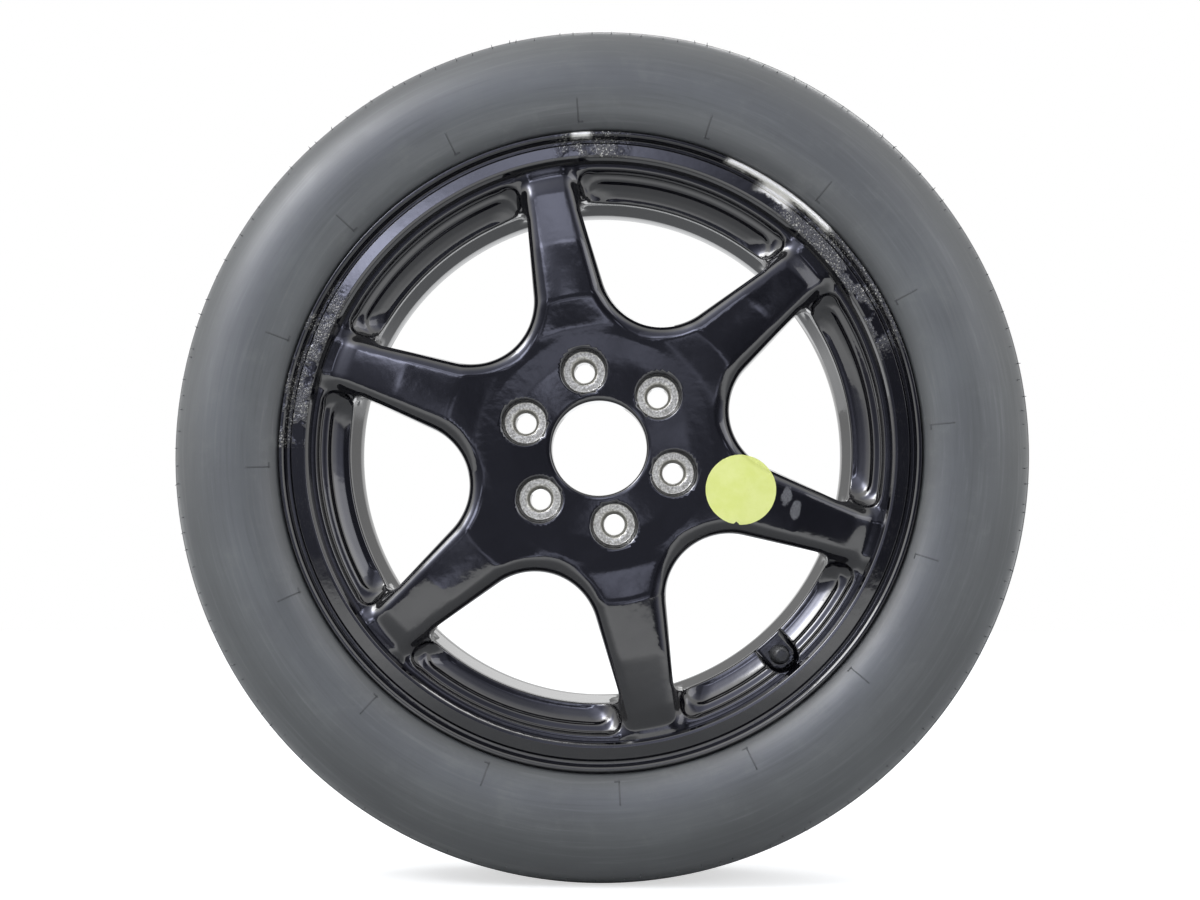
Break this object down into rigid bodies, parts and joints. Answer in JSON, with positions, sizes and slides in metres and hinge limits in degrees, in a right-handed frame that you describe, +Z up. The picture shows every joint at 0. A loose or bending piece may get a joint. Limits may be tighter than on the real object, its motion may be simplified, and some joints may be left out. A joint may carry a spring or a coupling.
{
  "type": "space saver spare wheel",
  "caption": "Narrow temporary spare: a gloss black cast wheel with spokes and stud holes, a smooth-walled tyre, a snap-in valve with its cap and a round yellow label.",
  "frame": {"origin": "centre of the wheel, on its axis and in the middle of the rim's width", "axes": "+Y along the axis from the street side to the car side, +Z up, upright as in the picture"},
  "size_m": [0.635, 0.147, 0.635],
  "materials": {
    "wheel_paint": "gloss black paint with chips",
    "tyre_rubber": "smooth grey-black rubber",
    "valve_rubber": "matt black rubber",
    "valve_brass": "dull turned brass",
    "gasket_red": "red gasket rubber",
    "pin_steel": "drawn steel",
    "cap_plastic": "moulded black plastic",
    "label_yellow": "pale yellow printed film"
  },
  "bodies": {
    "wheel": {"disc": "wheel_paint", "rim": "wheel_paint", "tyre": "tyre_rubber", "valve_body": "valve_rubber", "valve_stem": "valve_brass", "core_housing": "valve_brass", "core_gasket": "gasket_red", "core_spring": "pin_steel", "speed_label": "label_yellow"},
    "pin": {"core_pin": "pin_steel", "core_seal": "valve_rubber"},
    "cap_washer": {"cap_seal": "valve_rubber"},
    "cap": {"valve_cap": "cap_plastic"}
  },
  "joints": [
    {"name": "pin_press", "type": "slide", "parent": "wheel", "child": "pin", "axis": [0, 1, 0], "range_m": [0, 0.0014], "stiffness_N_per_m": 300, "springref_m": -0.002, "deforming": ["core_spring"]},
    {"name": "cap_lift", "type": "slide", "parent": "wheel", "child": "cap_washer", "axis": [0, -1, 0], "range_m": [0, 0.00396]},
    {"name": "cap_turn", "type": "hinge", "parent": "cap_washer", "child": "cap", "pos_m": [0.13306, -0.045, -0.15199], "axis": [0, -1, 0], "range_deg": [0, 1800]}
  ],
  "couplings": [
    {"joint": "cap_turn", "follows": "cap_lift", "rad_per_m": 7915.1}
  ]
}
